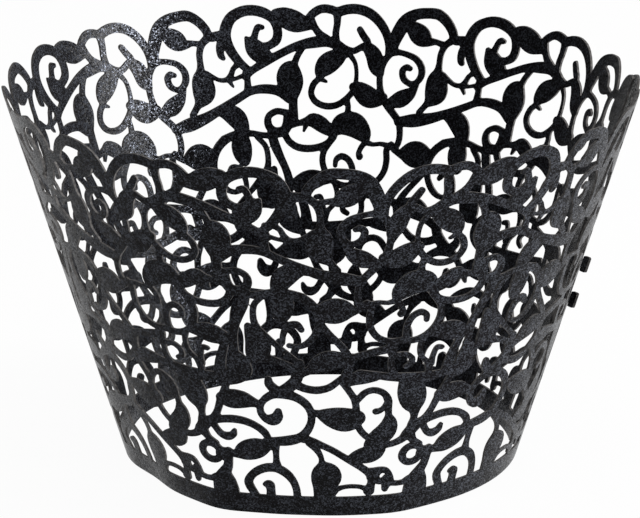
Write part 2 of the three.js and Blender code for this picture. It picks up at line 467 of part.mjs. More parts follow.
const cupcakeWrapper = new THREE.Group();
cupcakeWrapper.add(wrapper);
export default cupcakeWrapper;
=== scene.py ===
# %% [markdown]
# # A filigree cupcake wrapper
# The real object is one sheet of black pearlescent card, about 0.3 mm thick. A laser cuts the blank, a
# curved strip with a scroll motif that repeats seven times, and the strip is rolled into a cone and
# closed by two small tabs. This script follows the same order: draw the motif, cut it out of a flat
# blank, triangulate the blank, roll it, and give the card its finish.

# %% The frame and the object's own box
import math

import bpy
import numpy as np
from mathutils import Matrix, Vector
from mathutils.geometry import delaunay_2d_cdt


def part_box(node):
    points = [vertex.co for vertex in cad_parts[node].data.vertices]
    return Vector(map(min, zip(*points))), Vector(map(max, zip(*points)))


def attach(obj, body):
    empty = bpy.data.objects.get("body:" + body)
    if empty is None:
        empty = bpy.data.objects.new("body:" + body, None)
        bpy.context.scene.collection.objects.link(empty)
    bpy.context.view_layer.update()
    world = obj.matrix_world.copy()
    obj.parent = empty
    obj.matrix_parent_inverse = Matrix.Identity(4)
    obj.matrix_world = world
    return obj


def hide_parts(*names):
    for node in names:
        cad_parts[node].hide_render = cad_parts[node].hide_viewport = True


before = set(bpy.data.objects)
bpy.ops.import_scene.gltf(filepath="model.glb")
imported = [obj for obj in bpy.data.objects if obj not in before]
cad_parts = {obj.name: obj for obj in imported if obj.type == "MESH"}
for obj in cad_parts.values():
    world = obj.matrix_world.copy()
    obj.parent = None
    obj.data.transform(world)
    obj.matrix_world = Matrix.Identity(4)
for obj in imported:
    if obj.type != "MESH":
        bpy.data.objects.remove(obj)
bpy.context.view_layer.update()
MM = 0.001
NODE_LOW, NODE_HIGH = (Vector(corner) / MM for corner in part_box("filigree_wrapper"))
print("card box in mm:", [round(v, 1) for v in NODE_LOW], [round(v, 1) for v in NODE_HIGH])

# %% [markdown]
# ## Camera
# The photograph looks down on the wrapper at 18 degrees from about 45 cm away, with a long lens. The
# lens is worked out from the picture's width in pixels and the focal length in the same pixels, so the
# render has the photograph's perspective.

# %% Camera
PHOTO_WIDTH = 640
FOCAL_PIXELS = 3313.2
SENSOR_WIDTH = 36.0
CAMERA_AWAY = 0.42053
CAMERA_UP = 0.1641
CAMERA_PITCH = math.radians(18.18)

camera_data = bpy.data.cameras.new("camera")
camera_data.sensor_width = SENSOR_WIDTH
camera_data.lens = FOCAL_PIXELS * SENSOR_WIDTH / PHOTO_WIDTH
camera = bpy.data.objects.new("camera", camera_data)
camera.location = (0, -CAMERA_AWAY, CAMERA_UP)
camera.rotation_euler = (math.pi / 2 - CAMERA_PITCH, 0, 0)
bpy.context.scene.collection.objects.link(camera)
bpy.context.scene.camera = camera
print("lens", round(camera_data.lens, 1), "mm")

# %% [markdown]
# ## The rolled sheet in numbers
# A cone that is cut and laid flat is a ring segment. The slant height and the distance from the cone's
# apex to the lower edge come from the two diameters and the height. The strip that the two ends share
# is a little more than one turn, so the sheet winds outwards like a spiral and its ends don't touch.

# %% Sizes in millimetres
MOUTH_RADIUS = 41.5
BASE_RADIUS = 26.3
HEIGHT = 51.0
CARD = 0.3
REPEATS = 7
BASE_BAND = 3.0
STRIP_WIDTH = 4.2
LAYER_GAP = 0.4
TAB_HEIGHTS = (21.0, 26.0)
TAB_HEIGHT = 2.2
TAB_LENGTH = 2.6
TAB_HEAD_LENGTH = 0.9
TAB_NECK_HEIGHT = 1.0
TAB_PROUD = 1.3
SLIT_CLEARANCE = 0.3
SLIT_WIDTH = 1.5

FLARE = MOUTH_RADIUS - BASE_RADIUS
SLANT = math.hypot(FLARE, HEIGHT)
LEAN_SINE = FLARE / SLANT
LEAN_COSINE = HEIGHT / SLANT
APEX = BASE_RADIUS / LEAN_SINE
TURN = 2 * math.pi
REPEAT_ANGLE = TURN / REPEATS
MIDDLE_RADIUS = BASE_RADIUS + FLARE / 2
STRIP_ANGLE = STRIP_WIDTH / MIDDLE_RADIUS
TAB_ANGLE = TAB_LENGTH / MIDDLE_RADIUS
TAB_HEAD_ANGLE = TAB_HEAD_LENGTH / MIDDLE_RADIUS
SHEET_END = TURN + STRIP_ANGLE
LAYER_STEP = CARD / LEAN_COSINE + LAYER_GAP
SLIT_MIDDLE = TURN - (SLIT_WIDTH / 2 + SLIT_CLEARANCE) / MIDDLE_RADIUS
print("slant", round(SLANT, 2), "apex to base", round(APEX, 2))

# %% [markdown]
# ## The motif
# Filigree like this is drawn with a pointed brush: stems of even width, leaves that swell and taper,
# and curls that end in a small round. So each feature is a brush stroke here, a few points with the
# brush's width at each, and the motif is everything that a stroke covers. Drawing the strokes instead
# of the holes keeps every stem's width under control, and the joints between stems round themselves.
# The repeat is drawn on a flat sheet of its own. Its slant, its apex distance and its angle differ a
# little from the real sheet's, and the depth field below brings the motif to the real ones.

# %% One repeat of the motif: right, up the slant and brush width in mm, seen from inside the cone
DRAWN_SLANT = 53.17
DRAWN_APEX = 91.8
DRAWN_REPEAT = math.radians(14.72)
MOTIF = {
    "round_arch": [(-1.6, 43.9, 1.0), (-3.0, 45.2, 1.3), (-4.3, 47.2, 1.5), (-4.8, 49.2, 1.7),
        (-4.0, 51.2, 1.6), (-2.4, 52.2, 1.5), (-0.6, 52.4, 1.5), (1.2, 51.9, 1.5), (2.4, 50.9, 1.3),
        (2.95, 49.4, 1.3), (2.7, 48.0, 1.3), (1.7, 47.3, 1.1), (0.9, 47.2, 1.0)],
    "round_arch_leaf": [(1.6, 45.4, 1.2), (0.5, 46.0, 2.6), (-0.4, 46.8, 2.8), (-1.2, 47.8, 1.5),
        (-1.7, 48.5, 0.5)],
    "round_arch_hook": [(-0.7, 47.8, 1.2), (-0.35, 49.0, 0.9), (0.1, 49.9, 0.9), (0.75, 49.9, 0.7)],
    "rim_leaf": [(2.8, 51.8, 1.2), (4.0, 51.2, 2.7), (5.4, 50.5, 3.1), (6.8, 50.0, 2.0),
        (7.9, 49.9, 1.4)],
    "small_arch": [(7.4, 50.6, 1.2), (8.3, 51.5, 1.2), (9.4, 52.0, 1.2), (10.6, 51.9, 1.2),
        (11.6, 51.3, 1.2), (11.6, 49.8, 1.0), (11.3, 48.5, 1.0), (11.3, 47.3, 1.0)],
    "small_arch_left": [(7.9, 50.4, 1.2), (8.4, 49.3, 1.0), (9.0, 48.4, 1.1), (10.0, 47.6, 1.2)],
    "cane_arch": [(11.8, 51.4, 1.4), (13.2, 51.7, 1.4), (14.8, 51.6, 1.4), (16.4, 50.9, 1.4),
        (17.7, 49.6, 1.3), (18.6, 47.9, 1.2), (18.9, 46.2, 1.1), (18.7, 44.6, 1.0)],
    "cane_hook": [(14.8, 48.7, 0.9), (15.3, 47.7, 1.0), (15.8, 46.8, 1.0), (15.6, 45.9, 0.9)],
    "cane_vine_leaf": [(11.3, 46.9, 1.3), (12.5, 46.1, 1.0), (13.7, 45.7, 0.9), (15.0, 46.2, 1.0),
        (15.8, 46.0, 1.6), (16.6, 44.8, 2.3), (16.9, 43.3, 2.3), (17.3, 42.2, 1.2)],
    "upper_vine": [(-2.2, 43.0, 1.0), (-1.0, 43.9, 1.0), (1.0, 45.0, 1.2), (3.2, 46.0, 1.1),
        (5.5, 46.9, 1.2), (8.0, 47.3, 1.6), (10.0, 47.3, 1.5), (11.4, 46.7, 1.4)],
    "branch_leaf": [(6.3, 46.6, 0.9), (5.5, 45.4, 0.9), (5.0, 44.3, 1.2), (4.3, 43.2, 3.2),
        (4.3, 42.0, 3.8), (4.6, 40.8, 2.4), (4.6, 39.6, 1.3), (4.5, 38.2, 1.3), (4.5, 36.8, 1.3)],
    "long_vine": [(-13.3, 36.0, 1.3), (-11.0, 36.6, 1.9), (-8.5, 37.4, 1.5), (-6.0, 38.6, 1.2),
        (-3.5, 39.9, 1.1), (-1.5, 40.9, 1.1), (0.5, 41.1, 1.3), (2.5, 40.7, 1.4), (4.0, 39.6, 1.5)],
    "stem_leaf": [(-7.3, 48.9, 1.2), (-8.4, 47.9, 1.0), (-8.85, 46.5, 0.9), (-8.8, 45.0, 0.9),
        (-8.8, 43.9, 1.4), (-8.7, 42.6, 3.0), (-8.5, 41.2, 3.4), (-8.9, 40.2, 2.2), (-9.6, 39.2, 1.0),
        (-10.5, 37.9, 0.9)],
    "bowl_bottom": [(-7.9, 43.7, 0.8), (-6.2, 42.75, 0.6), (-5.0, 42.7, 0.7), (-4.3, 43.3, 0.8),
        (-3.9, 44.2, 0.7), (-3.2, 44.8, 0.8)],
    "bowl_loop": [(-4.6, 42.6, 0.6), (-3.6, 42.8, 0.5), (-2.4, 43.2, 0.6)],
    "bowl_spike": [(-4.7, 42.6, 0.7), (-4.1, 41.7, 0.4)],
    "short_post": [(-2.0, 43.6, 1.1), (-1.9, 42.4, 0.9), (-1.9, 41.2, 1.1)],
    "bowl_hook": [(-5.2, 48.5, 1.4), (-5.7, 47.3, 1.1), (-5.6, 46.2, 1.0), (-5.3, 45.8, 0.7)],
    "bite_arch": [(-16.2, 45.6, 1.4), (-16.1, 47.0, 1.7), (-15.7, 48.6, 2.0), (-15.0, 50.3, 1.9),
        (-13.7, 51.4, 1.6), (-12.0, 51.9, 1.5), (-10.3, 52.0, 1.5), (-8.8, 51.2, 1.4),
        (-7.7, 50.0, 1.3), (-7.1, 48.9, 1.3), (-5.9, 49.0, 1.3)],
    "bite_leaf": [(-14.6, 49.9, 1.2), (-13.5, 49.3, 2.2), (-12.4, 48.6, 2.9), (-11.2, 48.0, 1.5),
        (-9.9, 48.1, 0.8), (-8.7, 47.9, 0.9)],
    "upper_scroll": [(-16.0, 45.6, 1.2), (-15.0, 45.7, 0.8), (-13.8, 45.6, 0.8), (-12.4, 45.2, 0.9),
        (-11.4, 44.2, 1.0), (-11.2, 43.0, 1.0), (-11.7, 42.0, 0.9), (-12.6, 41.6, 0.8),
        (-13.7, 42.1, 0.9), (-14.1, 43.2, 0.95), (-13.6, 43.8, 0.9), (-13.0, 43.7, 0.7)],
    "upper_scroll_leaf": [(-11.7, 42.0, 0.9), (-11.9, 40.9, 1.0), (-12.6, 40.0, 1.9),
        (-13.6, 39.2, 2.4), (-14.7, 38.6, 1.6), (-15.5, 38.1, 1.0)],
    "upper_scroll_side": [(-16.0, 46.0, 1.3), (-16.9, 44.2, 0.9), (-17.25, 42.3, 0.9),
        (-17.0, 40.5, 0.9), (-16.3, 39.0, 1.0), (-15.3, 37.9, 1.1), (-14.2, 36.9, 1.0),
        (-13.3, 36.0, 1.0), (-12.9, 35.0, 0.9), (-12.7, 33.8, 0.9), (-12.8, 32.8, 0.9),
        (-13.2, 32.0, 0.9)],
    "oval_curl": [(12.7, 45.4, 1.0), (12.0, 45.3, 1.6), (11.0, 44.8, 2.6), (9.8, 44.1, 3.0),
        (8.9, 43.2, 2.0), (8.5, 42.2, 0.9), (7.6, 41.3, 0.9), (7.2, 40.0, 0.9), (7.8, 38.8, 0.9),
        (9.2, 38.1, 0.9), (10.9, 38.2, 0.9), (12.5, 39.2, 0.9), (13.5, 40.6, 0.7), (13.9, 42.3, 0.6),
        (13.8, 44.0, 0.6), (13.0, 45.4, 0.8)],
    "oval_curl_tip": [(8.6, 42.1, 0.8), (9.5, 41.6, 0.4)],
    "oval_post": [(12.3, 38.8, 0.8), (12.4, 37.8, 0.8), (12.2, 36.6, 0.9)],
    "side_leaf": [(13.3, 40.6, 1.2), (14.3, 40.0, 2.4), (15.4, 39.0, 3.0), (16.7, 38.5, 1.9),
        (17.6, 38.8, 1.2)],
    "hanging_leaf": [(-6.6, 38.2, 0.9), (-5.3, 38.1, 2.2), (-4.0, 37.3, 2.9), (-3.3, 36.2, 2.4),
        (-3.1, 35.0, 1.9)],
    "inner_leaf": [(-3.2, 35.0, 1.2), (-3.4, 33.5, 2.8), (-3.3, 32.3, 2.8), (-3.1, 31.2, 1.8),
        (-2.9, 30.6, 0.5)],
    "circle_hook": [(4.2, 37.2, 1.0), (3.2, 37.6, 0.9), (2.0, 37.8, 0.9), (0.9, 37.2, 0.9),
        (0.7, 36.2, 1.1), (1.1, 35.3, 1.2), (1.9, 34.8, 1.4), (3.0, 35.0, 1.4), (3.5, 35.9, 1.4),
        (3.6, 37.0, 1.2)],
    "cross_line": [(-6.0, 34.4, 0.8), (-4.0, 34.9, 1.0), (-2.0, 34.9, 0.9), (0.0, 34.5, 0.8),
        (1.2, 34.4, 1.0)],
    "wave_leaves": [(3.5, 35.7, 1.2), (5.0, 35.9, 0.8), (6.3, 36.1, 1.2), (7.3, 36.2, 2.0),
        (8.3, 35.6, 2.2), (9.3, 34.8, 1.8), (10.3, 34.7, 1.7), (11.5, 35.4, 3.0), (13.0, 35.2, 3.5),
        (14.2, 34.0, 2.5), (14.6, 32.8, 1.0), (13.9, 31.9, 0.8), (13.5, 31.1, 0.8), (13.6, 30.6, 1.0)],
    "wave_spike": [(6.2, 35.7, 0.8), (5.8, 34.8, 0.4)],
    "smile_arc": [(3.0, 34.6, 1.0), (3.6, 33.4, 1.0), (4.8, 32.5, 1.0), (6.5, 32.2, 1.0),
        (8.2, 32.4, 1.0), (9.4, 33.0, 1.0), (10.0, 33.8, 1.2)],
    "left_ring": [(-4.0, 34.8, 0.9), (-5.6, 34.3, 1.2), (-6.9, 33.2, 1.2), (-7.6, 31.8, 1.1),
        (-7.7, 30.2, 0.9), (-7.2, 28.6, 0.9), (-6.2, 27.3, 0.9), (-5.0, 26.7, 0.7), (-3.8, 26.9, 0.7)],
    "left_ring_right": [(-1.0, 34.3, 0.8), (0.1, 33.0, 0.8), (0.4, 31.4, 0.8), (0.2, 29.8, 0.9),
        (-1.0, 28.2, 0.9), (-2.5, 26.6, 0.7), (-3.7, 25.5, 0.6), (-4.8, 24.3, 0.7)],
    "left_ring_hook": [(-3.0, 27.3, 0.7), (-3.2, 28.6, 0.8), (-3.8, 29.8, 1.0), (-4.9, 30.1, 1.0),
        (-5.5, 29.3, 0.8)],
    "round_leaf": [(-13.0, 31.9, 0.9), (-12.3, 31.5, 0.8), (-11.2, 31.8, 2.3), (-9.8, 31.9, 3.8),
        (-8.4, 31.8, 2.5), (-7.6, 31.9, 1.0)],
    "side_vine": [(-7.8, 30.2, 1.0), (-8.7, 28.7, 0.9), (-9.8, 27.1, 0.9), (-10.7, 25.6, 1.0),
        (-11.2, 24.0, 1.2)],
    "right_ring": [(9.5, 33.1, 1.0), (8.5, 31.7, 0.9), (8.2, 30.2, 0.9), (8.6, 28.6, 0.9),
        (9.6, 27.3, 0.9), (11.0, 26.6, 0.9), (12.6, 26.6, 0.9), (14.2, 26.4, 0.9), (15.8, 26.9, 0.9),
        (17.0, 28.2, 0.9), (17.5, 29.8, 0.9), (17.6, 31.3, 0.9), (18.3, 32.0, 0.9)],
    "lobe_top": [(14.6, 32.6, 0.9), (15.6, 32.2, 0.6), (16.8, 32.2, 0.6), (18.0, 31.8, 0.8)],
    "right_ring_hook": [(10.0, 29.6, 0.7), (10.2, 30.4, 0.8), (11.0, 30.8, 0.9), (11.9, 30.3, 0.9),
        (12.4, 29.2, 0.9), (12.4, 28.0, 0.9), (12.2, 26.8, 0.9)],
    "main_vine": [(1.2, 34.3, 1.3), (1.6, 32.8, 1.4), (2.2, 31.2, 1.2), (2.8, 29.7, 1.1),
        (3.2, 28.2, 1.2), (3.2, 26.8, 1.0), (3.2, 25.2, 1.0), (3.6, 23.4, 1.2), (4.2, 21.6, 1.0),
        (4.8, 20.0, 0.9), (5.2, 18.8, 1.0), (5.8, 17.2, 1.0), (6.3, 15.6, 0.9), (7.0, 14.2, 1.2),
        (8.0, 13.4, 1.6), (8.8, 12.3, 1.6), (9.5, 11.3, 1.1), (10.7, 10.6, 0.9), (12.0, 10.3, 0.9),
        (13.2, 10.2, 1.4)],
    "vine_leaf": [(1.2, 29.6, 0.9), (0.6, 28.4, 2.2), (0.1, 27.0, 3.2), (0.3, 25.6, 3.0),
        (1.0, 24.6, 1.2)],
    "vine_leaf_low": [(3.3, 25.4, 1.0), (2.6, 24.0, 2.2), (2.5, 22.6, 2.6), (3.2, 21.4, 1.8),
        (4.2, 20.6, 1.0)],
    "vine_leaf_right": [(3.6, 27.0, 1.0), (4.8, 27.4, 2.2), (6.3, 27.7, 2.9), (7.8, 27.8, 2.0),
        (9.0, 27.6, 1.1)],
    "vine_fork": [(4.4, 26.6, 1.0), (4.9, 25.0, 1.2), (5.3, 23.3, 1.4), (5.4, 21.8, 1.6)],
    "fork_hook": [(6.9, 25.2, 0.7), (7.6, 25.2, 0.7), (7.9, 24.0, 0.7), (7.9, 22.8, 0.9)],
    "small_curl": [(12.8, 24.4, 0.7), (11.7, 24.5, 0.7), (10.8, 23.9, 0.8), (10.7, 23.1, 0.8),
        (11.3, 22.6, 0.7)],
    "low_band": [(4.6, 21.4, 1.0), (6.4, 21.1, 1.2), (8.2, 20.8, 1.6), (10.5, 20.9, 1.4),
        (13.0, 21.0, 1.2), (15.0, 21.2, 1.1), (17.0, 21.2, 1.4)],
    "star_left": [(9.8, 27.0, 0.8), (10.0, 25.6, 0.7), (9.6, 24.2, 0.7), (8.6, 23.2, 0.7),
        (8.0, 22.0, 1.0)],
    "star_right": [(13.6, 24.6, 1.0), (13.4, 25.6, 0.8), (13.6, 26.4, 0.8)],
    "curl_side": [(13.4, 24.6, 0.9), (13.4, 23.2, 0.8), (13.0, 22.0, 0.9), (12.4, 21.2, 1.0)],
    "small_leaf": [(-10.4, 20.6, 1.0), (-11.6, 21.2, 1.9), (-12.8, 21.2, 1.9), (-14.2, 20.9, 1.0)],
    "middle_leaf": [(-11.2, 24.2, 1.2), (-10.2, 24.3, 2.0), (-8.6, 24.4, 3.0), (-7.3, 23.9, 2.4),
        (-6.2, 23.1, 1.2), (-5.0, 22.6, 1.2)],
    "left_link": [(-11.0, 24.3, 1.2), (-12.5, 24.7, 1.0), (-14.2, 24.9, 1.1), (-16.0, 25.0, 1.2)],
    "middle_stem": [(-11.2, 24.2, 1.2), (-10.8, 22.6, 1.2), (-10.4, 21.4, 1.2)],
    "ring_tail": [(-4.9, 24.2, 1.2), (-4.6, 22.8, 1.6), (-4.3, 21.6, 1.5), (-3.4, 20.5, 1.6),
        (-2.4, 19.7, 1.6)],
    "low_arc": [(-10.2, 21.6, 1.0), (-9.4, 21.0, 0.9), (-8.3, 20.2, 1.0), (-6.8, 19.9, 1.1),
        (-5.4, 20.2, 1.1), (-4.3, 20.8, 1.2)],
    "low_hook": [(-1.6, 19.9, 1.4), (-0.9, 20.8, 1.2), (-0.8, 21.6, 0.9)],
    "leaf_tail": [(-4.6, 23.2, 1.0), (-3.4, 23.9, 0.9), (-2.4, 24.4, 0.9), (-1.0, 24.8, 1.2),
        (0.2, 24.9, 1.6)],
    "ring_scroll": [(-1.7, 16.6, 0.9), (-1.5, 15.7, 1.5), (-0.9, 15.2, 1.7), (0.0, 15.4, 1.1),
        (0.55, 16.3, 0.9), (0.5, 17.4, 0.9), (-0.1, 18.4, 1.0), (-1.2, 19.2, 1.2), (-2.5, 19.4, 1.5),
        (-4.0, 18.9, 1.2), (-5.2, 17.9, 1.1), (-5.8, 16.6, 1.0), (-5.8, 15.1, 1.0), (-5.2, 13.6, 1.1),
        (-4.2, 12.5, 1.3), (-2.8, 12.0, 1.5), (-1.2, 11.8, 1.3), (0.2, 11.8, 0.9)],
    "bud_leaf": [(-5.9, 16.4, 1.0), (-6.8, 16.2, 1.1), (-7.8, 15.8, 2.2), (-9.0, 15.3, 3.3),
        (-10.2, 14.9, 3.6), (-11.4, 15.0, 2.4)],
    "oval_right": [(-10.1, 20.9, 1.0), (-10.7, 19.6, 0.9), (-11.3, 18.2, 0.9), (-11.5, 16.8, 0.9),
        (-11.5, 15.0, 0.9), (-11.6, 13.6, 0.9), (-12.2, 12.3, 0.9), (-13.2, 11.2, 0.9),
        (-14.4, 10.5, 0.9)],
    "diagonal": [(-12.3, 3.0, 1.4), (-12.7, 4.4, 0.9), (-12.5, 5.8, 1.0), (-11.6, 7.0, 1.0),
        (-10.6, 8.0, 1.0), (-9.4, 9.1, 0.9), (-8.2, 10.2, 0.9), (-6.9, 11.1, 0.95), (-5.6, 11.9, 1.1),
        (-4.5, 12.3, 1.2)],
    "left_leaf": [(-10.2, 8.6, 0.9), (-11.1, 9.0, 1.5), (-12.3, 8.9, 2.6), (-13.3, 9.0, 2.3),
        (-14.1, 9.4, 1.4)],
    "bud_post": [(-6.7, 2.6, 2.8), (-6.7, 4.4, 2.8), (-7.1, 6.1, 3.9), (-6.9, 7.2, 2.4),
        (-6.7, 8.3, 0.9), (-6.6, 9.4, 0.7), (-6.1, 10.6, 0.9), (-5.3, 11.6, 1.0)],
    "sliver_top": [(-12.0, 3.4, 0.8), (-11.2, 3.9, 0.6), (-10.2, 4.15, 0.6), (-9.2, 4.15, 0.6),
        (-8.3, 3.9, 0.8), (-7.8, 3.4, 1.0)],
    "low_arch": [(-3.2, 2.8, 1.0), (-3.15, 4.2, 0.95), (-2.8, 5.5, 1.0), (-2.1, 6.6, 1.2),
        (-1.0, 7.4, 1.3), (0.2, 7.5, 1.3), (1.4, 7.0, 1.2), (2.4, 6.1, 1.1), (2.95, 5.0, 1.1),
        (2.75, 4.0, 1.1), (2.2, 2.9, 1.0)],
    "low_curl": [(0.2, 2.8, 1.2), (0.15, 4.0, 1.1), (0.3, 4.7, 1.3), (0.75, 4.75, 0.8)],
    "middle_post": [(-0.95, 11.6, 1.2), (-0.95, 10.0, 0.8), (-0.9, 8.8, 0.8), (-0.9, 7.8, 1.2)],
    "dark_leaf": [(-0.6, 11.6, 1.2), (0.6, 10.9, 2.1), (1.7, 10.4, 3.1), (2.8, 9.9, 2.9),
        (3.9, 9.3, 1.5), (5.1, 9.1, 0.9)],
    "right_post": [(5.3, 9.4, 1.2), (5.35, 8.2, 1.1), (5.5, 7.0, 1.2), (6.0, 5.8, 1.7),
        (6.1, 4.4, 3.0), (6.0, 3.2, 3.4)],
    "wave_curl": [(7.1, 13.5, 1.0), (6.6, 12.7, 0.9), (6.0, 12.0, 1.0), (5.2, 11.8, 1.2),
        (4.5, 12.2, 1.0), (4.25, 12.9, 0.6)],
    "wave_arch": [(-0.2, 12.0, 0.8), (0.3, 13.1, 1.0), (1.3, 14.0, 1.0), (2.7, 14.6, 1.1),
        (4.3, 14.7, 1.15), (5.8, 14.4, 1.1), (7.0, 14.0, 1.2)],
    "knob_leaf": [(0.7, 17.5, 1.0), (1.7, 17.8, 1.6), (2.9, 18.0, 2.6), (4.2, 17.9, 2.9),
        (5.3, 17.8, 2.0)],
    "eyelet_stem": [(8.6, 12.0, 1.4), (7.9, 11.0, 1.0), (7.0, 10.3, 1.1)],
    "eyelet_left": [(5.3, 9.2, 1.2), (6.3, 9.2, 1.2), (6.4, 8.4, 0.9), (5.6, 8.3, 1.0)],
    "right_leaf": [(8.6, 13.4, 1.2), (8.55, 14.8, 0.9), (8.8, 16.2, 1.8), (9.2, 17.4, 3.4),
        (9.7, 18.7, 3.7), (10.3, 20.0, 2.8)],
    "oval_arch": [(12.0, 14.9, 0.8), (12.3, 16.2, 0.9), (12.6, 17.5, 1.0), (13.4, 18.5, 0.9),
        (14.7, 18.9, 0.9), (15.8, 18.4, 0.9), (16.5, 17.2, 0.9)],
    "oval_hook": [(12.6, 17.0, 0.8), (12.9, 16.2, 0.7), (13.4, 15.7, 0.8), (13.8, 15.6, 0.9)],
    "oval_leaf": [(12.0, 15.0, 0.9), (11.7, 13.8, 2.0), (11.9, 12.6, 2.7), (12.6, 11.5, 2.8),
        (13.2, 10.4, 2.2)],
    "wedge_tooth": [(10.3, 5.2, 1.1), (10.2, 4.2, 1.1), (10.2, 3.4, 0.8)],
    "small_eye": [(9.6, 4.4, 0.9), (10.0, 5.6, 0.8), (10.7, 6.4, 0.9), (11.6, 6.3, 1.0),
        (11.9, 5.4, 1.2), (11.4, 4.7, 1.0), (10.6, 4.7, 1.0)],
    "eye_link": [(11.6, 6.3, 1.2), (12.4, 6.2, 1.0), (13.2, 6.2, 0.9)],
    "wedge_top": [(7.2, 4.8, 1.2), (8.0, 4.4, 0.8), (9.0, 4.3, 0.8), (9.9, 4.5, 1.0)],
    "wedge_right": [(12.0, 5.3, 1.4), (12.5, 5.1, 0.8)],
}
EYELET = {"x": 7.65, "y": 8.85, "radius": 1.3, "width": 1.0}
print(len(MOTIF), "strokes in one repeat")

# %% [markdown]
# ## Smooth strokes
# A Catmull-Rom curve goes through every point that is given, so the points can be read straight off
# the ornament. The width is simply the curve's third coordinate.

# %% Strokes as short straight pieces
STEPS = 8
RING_STEPS = 48


def smooth_line(points):
    """Points along a Catmull-Rom curve through the given ones."""
    given = np.array(points, dtype=float)
    ends = np.vstack([2 * given[0] - given[1], given, 2 * given[-1] - given[-2]])
    line = []
    for before, start, end, after in zip(ends, ends[1:], ends[2:], ends[3:]):
        for t in np.arange(STEPS) / STEPS:
            line.append(0.5 * (2 * start + (end - before) * t
                               + (2 * before - 5 * start + 4 * end - after) * t ** 2
                               + (3 * start - before - 3 * end + after) * t ** 3))
    return np.array(line + [given[-1]])


def ring_line(ring):
    """A closed round stroke."""
    turns = np.linspace(0, TURN, RING_STEPS + 1)
    x = ring["x"] + ring["radius"] * np.cos(turns)
    y = ring["y"] + ring["radius"] * np.sin(turns)
    return np.column_stack([x, y, np.full_like(x, ring["width"])])


LINES = [smooth_line(points) for points in MOTIF.values()] + [ring_line(EYELET)]

# %% [markdown]
# ## The motif as a distance field
# For each point of a fine grid over one repeat, the field holds how deep the point lies inside the
# nearest stroke: positive in the card, negative in a hole. Fields make joining easy, because the union
# of two shapes is the larger of their depths. The grid's columns are angles round the cone, so a
# stroke that crosses into the next repeat simply comes back in at the other side.

# %% Depth inside the motif
COLUMNS = 150
ROW_STEP = 0.2
REACH = 2.6
FAR_OUTSIDE = -3.0
SPARE_CELLS = 3
BASE_ROW = 1.5
ROOM_ABOVE = 2.0
NO_LENGTH = 1e-12
COLUMN_STEP = REPEAT_ANGLE / COLUMNS
FIRST_COLUMN = -math.ceil(TAB_ANGLE / COLUMN_STEP) - SPARE_CELLS
ALL_COLUMNS = math.ceil(SHEET_END / COLUMN_STEP) - FIRST_COLUMN + SPARE_CELLS
ROWS = math.ceil((SLANT + ROOM_ABOVE) / ROW_STEP) + SPARE_CELLS
row_up = (np.arange(ROWS) - BASE_ROW) * ROW_STEP
column_angle = (np.arange(ALL_COLUMNS) + FIRST_COLUMN) * REPEAT_ANGLE / COLUMNS


def motif_depth():
    """Depth inside the strokes for one repeat, negative outside."""
    depth = np.full((ROWS, COLUMNS), FAR_OUTSIDE)
    step = DRAWN_REPEAT / COLUMNS
    for line in LINES:
        for start, end in zip(line, line[1:]):
            rho = math.hypot(start[0], start[1] + DRAWN_APEX)
            middle = -math.atan2(start[0], start[1] + DRAWN_APEX) / step + COLUMNS / 2
            drawn_up = rho - DRAWN_APEX
            low = max(int((drawn_up - REACH) * SLANT / DRAWN_SLANT / ROW_STEP + BASE_ROW), 0)
            high = min(int((drawn_up + REACH) * SLANT / DRAWN_SLANT / ROW_STEP + SPARE_CELLS), ROWS)
            span = REACH / rho / step
            columns = np.arange(math.floor(middle - span), math.ceil(middle + span))
            phi = (columns - COLUMNS / 2) * step
            rhos = DRAWN_APEX + row_up[low:high, None] * DRAWN_SLANT / SLANT
            x = -rhos * np.sin(phi) - start[0]
            y = rhos * np.cos(phi) - DRAWN_APEX - start[1]
            dx, dy, widening = end - start
            share = np.clip((x * dx + y * dy) / max(dx * dx + dy * dy, NO_LENGTH), 0, 1)
            inside = (start[2] + widening * share) / 2 - np.hypot(x - dx * share, y - dy * share)
            cells = columns % COLUMNS
            depth[low:high, cells] = np.maximum(depth[low:high, cells], inside)
    return depth


MOTIF_DEPTH = motif_depth()
print("card covers", round(float((MOTIF_DEPTH > 0).mean() * 100)), "% of a repeat's grid")

# %% [markdown]
# ## The whole blank
# The repeats are set side by side, a plain band runs along the base, and each end gets a plain strip
# with the same scalloped top. Two tabs stand out of one end, and two slits near the other take them.

# %% Depth inside the blank


def box_depth(arc, up, half_arc, half_up):
    """Depth inside a rectangle."""
    return np.minimum(half_arc - np.abs(arc), half_up - np.abs(up))


